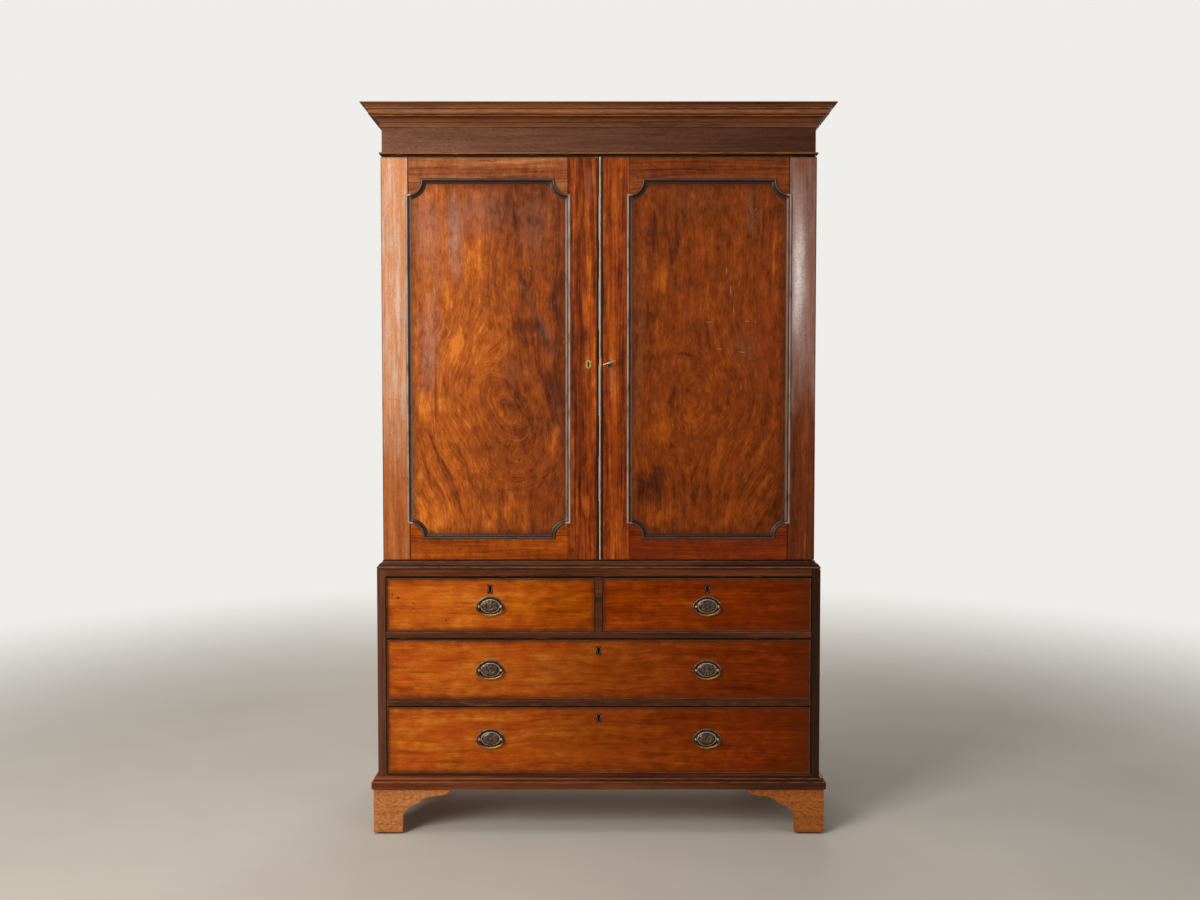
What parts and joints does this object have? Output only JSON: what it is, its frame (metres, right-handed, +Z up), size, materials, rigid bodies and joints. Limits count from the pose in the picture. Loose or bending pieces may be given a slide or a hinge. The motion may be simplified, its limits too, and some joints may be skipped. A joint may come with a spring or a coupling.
{
  "type": "linen press",
  "caption": "Mahogany linen press: moulded cornice, panelled doors over sliding trays, cock-beaded drawers with swinging brass bails, scrolled bracket feet.",
  "frame": {"origin": "on the floor, under the middle of the box around the whole press", "axes": "+Z up; the front with the doors and drawers looks along -Y; +X is to the right of a person facing the front"},
  "size_m": [1.285, 0.5716, 2.004],
  "materials": {
    "mahogany_case": "polished",
    "mahogany_moulding": "polished",
    "mahogany_door": "polished",
    "mahogany_flame": "polished",
    "mahogany_foot": "worn",
    "tray_wood": "waxed",
    "oak_lining": "raw",
    "pine_back": "raw",
    "brass": "aged",
    "brass_bail": "aged",
    "steel_key": "worn",
    "iron_glide": "rough"
  },
  "bodies": {
    "carcase": {"cornice_moulding": "mahogany_moulding", "cornice_bead": "mahogany_moulding", "cornice_frieze": "mahogany_case", "upper_case_sides": "mahogany_case", "upper_case_boards": "oak_lining", "upper_case_back": "pine_back", "case_hinges": "brass", "tray_runners": "oak_lining", "lower_case_sides": "mahogany_case", "lower_case_boards": "oak_lining", "lower_case_back": "pine_back", "drawer_rails": "mahogany_case", "drawer_runners": "oak_lining", "waist_moulding": "mahogany_moulding", "base_moulding": "mahogany_moulding", "bracket_feet": "mahogany_foot", "foot_glides": "iron_glide"},
    "left_door": {"left_door_frame": "mahogany_door", "left_door_panel": "mahogany_flame", "left_door_moulding": "mahogany_moulding", "left_door_hinge_leaves": "brass", "left_door_escutcheon": "brass", "left_door_edge_plates": "brass"},
    "right_door": {"right_door_frame": "mahogany_door", "right_door_panel": "mahogany_flame", "right_door_moulding": "mahogany_moulding", "right_door_hinge_leaves": "brass", "right_door_escutcheon": "brass", "right_door_lock": "brass", "right_door_astragal": "mahogany_moulding"},
    "top_bolt": {"left_door_top_bolt": "brass"},
    "bottom_bolt": {"left_door_bottom_bolt": "brass"},
    "lock_bolt": {"right_door_lock_bolt": "brass"},
    "key": {"right_door_key": "steel_key"},
    "linen_tray_1": {"linen_tray_1": "tray_wood"},
    "linen_tray_2": {"linen_tray_2": "tray_wood"},
    "linen_tray_3": {"linen_tray_3": "tray_wood"},
    "linen_tray_4": {"linen_tray_4": "tray_wood"},
    "top_left_drawer": {"top_left_drawer_box": "oak_lining", "top_left_drawer_front": "mahogany_flame", "top_left_drawer_brasses": "brass"},
    "top_left_drawer_bolt": {"top_left_drawer_lock_bolt": "brass"},
    "top_right_drawer": {"top_right_drawer_box": "oak_lining", "top_right_drawer_front": "mahogany_flame", "top_right_drawer_brasses": "brass"},
    "top_right_drawer_bolt": {"top_right_drawer_lock_bolt": "brass"},
    "middle_drawer": {"middle_drawer_box": "oak_lining", "middle_drawer_front": "mahogany_flame", "middle_drawer_brasses": "brass"},
    "middle_drawer_bolt": {"middle_drawer_lock_bolt": "brass"},
    "bottom_drawer": {"bottom_drawer_box": "oak_lining", "bottom_drawer_front": "mahogany_flame", "bottom_drawer_brasses": "brass"},
    "bottom_drawer_bolt": {"bottom_drawer_lock_bolt": "brass"},
    "top_left_bail": {"top_left_bail": "brass_bail"},
    "top_right_bail": {"top_right_bail": "brass_bail"},
    "middle_left_bail": {"middle_left_bail": "brass_bail"},
    "middle_right_bail": {"middle_right_bail": "brass_bail"},
    "bottom_left_bail": {"bottom_left_bail": "brass_bail"},
    "bottom_right_bail": {"bottom_right_bail": "brass_bail"}
  },
  "joints": [
    {"name": "left_door_hinge", "type": "hinge", "parent": "carcase", "child": "left_door", "pos_m": [-0.595, -0.217, 1.313], "axis": [0, 0, -1], "range_deg": [0, 170]},
    {"name": "right_door_hinge", "type": "hinge", "parent": "carcase", "child": "right_door", "pos_m": [0.595, -0.217, 1.313], "axis": [0, 0, 1], "range_deg": [0, 170]},
    {"name": "top_bolt_slide", "type": "slide", "parent": "left_door", "child": "top_bolt", "axis": [0, 0, 1], "range_m": [0, 0.012]},
    {"name": "bottom_bolt_slide", "type": "slide", "parent": "left_door", "child": "bottom_bolt", "axis": [0, 0, -1], "range_m": [0, 0.012]},
    {"name": "key_turn", "type": "hinge", "parent": "right_door", "child": "key", "pos_m": [0.0285, -0.23925, 1.304], "axis": [0, -1, 0], "range_deg": [0, 360]},
    {"name": "lock_bolt_slide", "type": "slide", "parent": "right_door", "child": "lock_bolt", "axis": [-1, 0, 0], "range_m": [0, 0.009]},
    {"name": "tray_1_slide", "type": "slide", "parent": "carcase", "child": "linen_tray_1", "axis": [0, -1, 0], "range_m": [0, 0.012]},
    {"name": "tray_2_slide", "type": "slide", "parent": "carcase", "child": "linen_tray_2", "axis": [0, -1, 0], "range_m": [0, 0.012]},
    {"name": "tray_3_slide", "type": "slide", "parent": "carcase", "child": "linen_tray_3", "axis": [0, -1, 0], "range_m": [0, 0.012]},
    {"name": "tray_4_slide", "type": "slide", "parent": "carcase", "child": "linen_tray_4", "axis": [0, -1, 0], "range_m": [0, 0.012]},
    {"name": "top_left_drawer_slide", "type": "slide", "parent": "carcase", "child": "top_left_drawer", "axis": [0, -1, 0], "range_m": [0, 0.38]},
    {"name": "top_left_drawer_bolt_slide", "type": "slide", "parent": "top_left_drawer", "child": "top_left_drawer_bolt", "axis": [0, 0, 1], "range_m": [0, 0.008]},
    {"name": "top_right_drawer_slide", "type": "slide", "parent": "carcase", "child": "top_right_drawer", "axis": [0, -1, 0], "range_m": [0, 0.38]},
    {"name": "top_right_drawer_bolt_slide", "type": "slide", "parent": "top_right_drawer", "child": "top_right_drawer_bolt", "axis": [0, 0, 1], "range_m": [0, 0.008]},
    {"name": "middle_drawer_slide", "type": "slide", "parent": "carcase", "child": "middle_drawer", "axis": [0, -1, 0], "range_m": [0, 0.38]},
    {"name": "middle_drawer_bolt_slide", "type": "slide", "parent": "middle_drawer", "child": "middle_drawer_bolt", "axis": [0, 0, 1], "range_m": [0, 0.008]},
    {"name": "bottom_drawer_slide", "type": "slide", "parent": "carcase", "child": "bottom_drawer", "axis": [0, -1, 0], "range_m": [0, 0.38]},
    {"name": "bottom_drawer_bolt_slide", "type": "slide", "parent": "bottom_drawer", "child": "bottom_drawer_bolt", "axis": [0, 0, 1], "range_m": [0, 0.008]},
    {"name": "top_left_bail_swing", "type": "hinge", "parent": "top_left_drawer", "child": "top_left_bail", "pos_m": [-0.2995, -0.26125, 0.634], "axis": [-1, 0, 0], "range_deg": [0, 170]},
    {"name": "top_right_bail_swing", "type": "hinge", "parent": "top_right_drawer", "child": "top_right_bail", "pos_m": [0.2995, -0.26125, 0.634], "axis": [-1, 0, 0], "range_deg": [0, 170]},
    {"name": "middle_left_bail_swing", "type": "hinge", "parent": "middle_drawer", "child": "middle_left_bail", "pos_m": [-0.2995, -0.26125, 0.457], "axis": [-1, 0, 0], "range_deg": [0, 170]},
    {"name": "middle_right_bail_swing", "type": "hinge", "parent": "middle_drawer", "child": "middle_right_bail", "pos_m": [0.2995, -0.26125, 0.457], "axis": [-1, 0, 0], "range_deg": [0, 170]},
    {"name": "bottom_left_bail_swing", "type": "hinge", "parent": "bottom_drawer", "child": "bottom_left_bail", "pos_m": [-0.2995, -0.26125, 0.2645], "axis": [-1, 0, 0], "range_deg": [0, 170]},
    {"name": "bottom_right_bail_swing", "type": "hinge", "parent": "bottom_drawer", "child": "bottom_right_bail", "pos_m": [0.2995, -0.26125, 0.2645], "axis": [-1, 0, 0], "range_deg": [0, 170]}
  ],
  "couplings": [
    {"joint": "key_turn", "follows": "lock_bolt_slide", "rad_per_m": 698.13}
  ]
}
